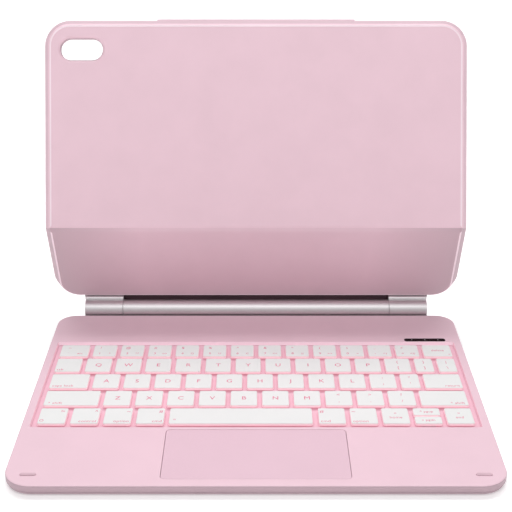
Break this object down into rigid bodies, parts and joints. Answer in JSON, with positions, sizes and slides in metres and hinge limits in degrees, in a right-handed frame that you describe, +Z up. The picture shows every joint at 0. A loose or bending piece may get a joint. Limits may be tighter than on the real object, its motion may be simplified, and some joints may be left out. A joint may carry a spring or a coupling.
{
  "type": "tablet keyboard case",
  "caption": "Floating keyboard case for a tablet: thin keyboard base with trackpad, and a magnetic lid that folds across its width and turns on a metal barrel hinge.",
  "frame": {"origin": "on the table, in the middle of the keyboard base's footprint", "axes": "+X to the typist's right, +Y away from the typist, +Z up"},
  "size_m": [0.256, 0.2267, 0.1865],
  "materials": {
    "pink_shell": "satin moulded plastic, soft touch",
    "lid_skin": "soft matte coating with a very fine grain",
    "inner_skin": "soft matte coating with a very fine grain",
    "tray_pink": "satin painted",
    "key_white": "fine matte moulded",
    "pad_pink": "silky smooth",
    "hinge_metal": "fine blasted satin",
    "steel": "brushed",
    "black_window": "polished",
    "pink_rubber": "matte",
    "milky_rubber": "matte translucent",
    "natural_plastic": "satin",
    "film": "clear film with printed traces",
    "board_green": "solder mask",
    "battery_foil": "matte foil",
    "grey_board": "glass fibre sheet"
  },
  "bodies": {
    "base": {"deck": "pink_shell", "bottom_cover": "pink_shell", "key_tray": "tray_pink", "switch_membrane": "film", "rubber_domes": "milky_rubber", "scissor_frames": "natural_plastic", "circuit_board": "board_green", "battery_cells": "battery_foil", "trackpad_frame": "steel", "indicator_window": "black_window", "charging_port": "steel", "rubber_feet": "pink_rubber", "front_bumpers": "pink_rubber", "bottom_screws": "steel", "hinge_barrel": "hinge_metal", "spine_skin": "lid_skin"},
    "lower_panel": {"hinge_pins": "steel", "hinge_knuckle_left": "hinge_metal", "hinge_knuckle_right": "hinge_metal", "lower_board": "grey_board", "lower_inner_skin": "inner_skin", "lower_outer_skin": "lid_skin", "fold_skin": "inner_skin"},
    "upper_panel": {"upper_board": "grey_board", "upper_inner_face": "inner_skin", "upper_outer_shell": "lid_skin", "tablet_magnets": "steel"},
    "flap": {"pencil_flap": "lid_skin"},
    "trackpad_plate": {"trackpad": "pad_pink"},
    "switch_slider": {"power_switch": "pink_shell"},
    "key_a_cap": {"key_a": "key_white"},
    "key_b_cap": {"key_b": "key_white"},
    "key_c_cap": {"key_c": "key_white"},
    "key_d_cap": {"key_d": "key_white"},
    "key_e_cap": {"key_e": "key_white"},
    "key_f_cap": {"key_f": "key_white"},
    "key_g_cap": {"key_g": "key_white"},
    "key_h_cap": {"key_h": "key_white"},
    "key_i_cap": {"key_i": "key_white"},
    "key_j_cap": {"key_j": "key_white"},
    "key_k_cap": {"key_k": "key_white"},
    "key_l_cap": {"key_l": "key_white"},
    "key_m_cap": {"key_m": "key_white"},
    "key_n_cap": {"key_n": "key_white"},
    "key_o_cap": {"key_o": "key_white"},
    "key_p_cap": {"key_p": "key_white"},
    "key_q_cap": {"key_q": "key_white"},
    "key_r_letter_cap": {"key_r_letter": "key_white"},
    "key_s_cap": {"key_s": "key_white"},
    "key_t_cap": {"key_t": "key_white"},
    "key_u_cap": {"key_u": "key_white"},
    "key_v_cap": {"key_v": "key_white"},
    "key_w_cap": {"key_w": "key_white"},
    "key_x_cap": {"key_x": "key_white"},
    "key_y_cap": {"key_y": "key_white"},
    "key_z_cap": {"key_z": "key_white"},
    "space_bar_cap": {"space_bar": "key_white"},
    "number_row_keys_cap": {"number_row_keys": "key_white"},
    "side_and_punctuation_keys_cap": {"side_and_punctuation_keys": "key_white"},
    "bottom_row_keys_cap": {"bottom_row_keys": "key_white"}
  },
  "joints": [
    {"name": "base_hinge", "type": "hinge", "parent": "base", "child": "lower_panel", "pos_m": [0, 0.099, 0.0078], "axis": [-1, 0, 0], "range_deg": [-67.5, 22.5], "deforming": ["spine_skin"]},
    {"name": "fold_hinge", "type": "hinge", "parent": "lower_panel", "child": "upper_panel", "pos_m": [0, 0.08174, 0.0709], "axis": [-1, 0, 0], "range_deg": [-45.3, 17], "deforming": ["fold_skin"]},
    {"name": "flap_hinge", "type": "hinge", "parent": "upper_panel", "child": "flap", "pos_m": [0, 0.13359, 0.18546], "axis": [1, 0, 0], "range_deg": [0, 200]},
    {"name": "click_trackpad", "type": "slide", "parent": "base", "child": "trackpad_plate", "axis": [0, 0, -1], "range_m": [0, 0.0004], "stiffness_N_per_m": 1500},
    {"name": "power_slide", "type": "slide", "parent": "base", "child": "switch_slider", "axis": [0, 1, 0], "range_m": [0, 0.002]},
    {"name": "press_key_a", "type": "slide", "parent": "base", "child": "key_a_cap", "axis": [0, 0, -1], "range_m": [0, 0.001], "stiffness_N_per_m": 400},
    {"name": "press_key_b", "type": "slide", "parent": "base", "child": "key_b_cap", "axis": [0, 0, -1], "range_m": [0, 0.001], "stiffness_N_per_m": 400},
    {"name": "press_key_c", "type": "slide", "parent": "base", "child": "key_c_cap", "axis": [0, 0, -1], "range_m": [0, 0.001], "stiffness_N_per_m": 400},
    {"name": "press_key_d", "type": "slide", "parent": "base", "child": "key_d_cap", "axis": [0, 0, -1], "range_m": [0, 0.001], "stiffness_N_per_m": 400},
    {"name": "press_key_e", "type": "slide", "parent": "base", "child": "key_e_cap", "axis": [0, 0, -1], "range_m": [0, 0.001], "stiffness_N_per_m": 400},
    {"name": "press_key_f", "type": "slide", "parent": "base", "child": "key_f_cap", "axis": [0, 0, -1], "range_m": [0, 0.001], "stiffness_N_per_m": 400},
    {"name": "press_key_g", "type": "slide", "parent": "base", "child": "key_g_cap", "axis": [0, 0, -1], "range_m": [0, 0.001], "stiffness_N_per_m": 400},
    {"name": "press_key_h", "type": "slide", "parent": "base", "child": "key_h_cap", "axis": [0, 0, -1], "range_m": [0, 0.001], "stiffness_N_per_m": 400},
    {"name": "press_key_i", "type": "slide", "parent": "base", "child": "key_i_cap", "axis": [0, 0, -1], "range_m": [0, 0.001], "stiffness_N_per_m": 400},
    {"name": "press_key_j", "type": "slide", "parent": "base", "child": "key_j_cap", "axis": [0, 0, -1], "range_m": [0, 0.001], "stiffness_N_per_m": 400},
    {"name": "press_key_k", "type": "slide", "parent": "base", "child": "key_k_cap", "axis": [0, 0, -1], "range_m": [0, 0.001], "stiffness_N_per_m": 400},
    {"name": "press_key_l", "type": "slide", "parent": "base", "child": "key_l_cap", "axis": [0, 0, -1], "range_m": [0, 0.001], "stiffness_N_per_m": 400},
    {"name": "press_key_m", "type": "slide", "parent": "base", "child": "key_m_cap", "axis": [0, 0, -1], "range_m": [0, 0.001], "stiffness_N_per_m": 400},
    {"name": "press_key_n", "type": "slide", "parent": "base", "child": "key_n_cap", "axis": [0, 0, -1], "range_m": [0, 0.001], "stiffness_N_per_m": 400},
    {"name": "press_key_o", "type": "slide", "parent": "base", "child": "key_o_cap", "axis": [0, 0, -1], "range_m": [0, 0.001], "stiffness_N_per_m": 400},
    {"name": "press_key_p", "type": "slide", "parent": "base", "child": "key_p_cap", "axis": [0, 0, -1], "range_m": [0, 0.001], "stiffness_N_per_m": 400},
    {"name": "press_key_q", "type": "slide", "parent": "base", "child": "key_q_cap", "axis": [0, 0, -1], "range_m": [0, 0.001], "stiffness_N_per_m": 400},
    {"name": "press_key_r", "type": "slide", "parent": "base", "child": "key_r_letter_cap", "axis": [0, 0, -1], "range_m": [0, 0.001], "stiffness_N_per_m": 400},
    {"name": "press_key_s", "type": "slide", "parent": "base", "child": "key_s_cap", "axis": [0, 0, -1], "range_m": [0, 0.001], "stiffness_N_per_m": 400},
    {"name": "press_key_t", "type": "slide", "parent": "base", "child": "key_t_cap", "axis": [0, 0, -1], "range_m": [0, 0.001], "stiffness_N_per_m": 400},
    {"name": "press_key_u", "type": "slide", "parent": "base", "child": "key_u_cap", "axis": [0, 0, -1], "range_m": [0, 0.001], "stiffness_N_per_m": 400},
    {"name": "press_key_v", "type": "slide", "parent": "base", "child": "key_v_cap", "axis": [0, 0, -1], "range_m": [0, 0.001], "stiffness_N_per_m": 400},
    {"name": "press_key_w", "type": "slide", "parent": "base", "child": "key_w_cap", "axis": [0, 0, -1], "range_m": [0, 0.001], "stiffness_N_per_m": 400},
    {"name": "press_key_x", "type": "slide", "parent": "base", "child": "key_x_cap", "axis": [0, 0, -1], "range_m": [0, 0.001], "stiffness_N_per_m": 400},
    {"name": "press_key_y", "type": "slide", "parent": "base", "child": "key_y_cap", "axis": [0, 0, -1], "range_m": [0, 0.001], "stiffness_N_per_m": 400},
    {"name": "press_key_z", "type": "slide", "parent": "base", "child": "key_z_cap", "axis": [0, 0, -1], "range_m": [0, 0.001], "stiffness_N_per_m": 400},
    {"name": "press_space_bar", "type": "slide", "parent": "base", "child": "space_bar_cap", "axis": [0, 0, -1], "range_m": [0, 0.001], "stiffness_N_per_m": 800},
    {"name": "press_number_row_keys", "type": "slide", "parent": "base", "child": "number_row_keys_cap", "axis": [0, 0, -1], "range_m": [0, 0.001], "stiffness_N_per_m": 5600},
    {"name": "press_side_and_punctuation_keys", "type": "slide", "parent": "base", "child": "side_and_punctuation_keys_cap", "axis": [0, 0, -1], "range_m": [0, 0.001], "stiffness_N_per_m": 5200},
    {"name": "press_bottom_row_keys", "type": "slide", "parent": "base", "child": "bottom_row_keys_cap", "axis": [0, 0, -1], "range_m": [0, 0.001], "stiffness_N_per_m": 4000}
  ]
}
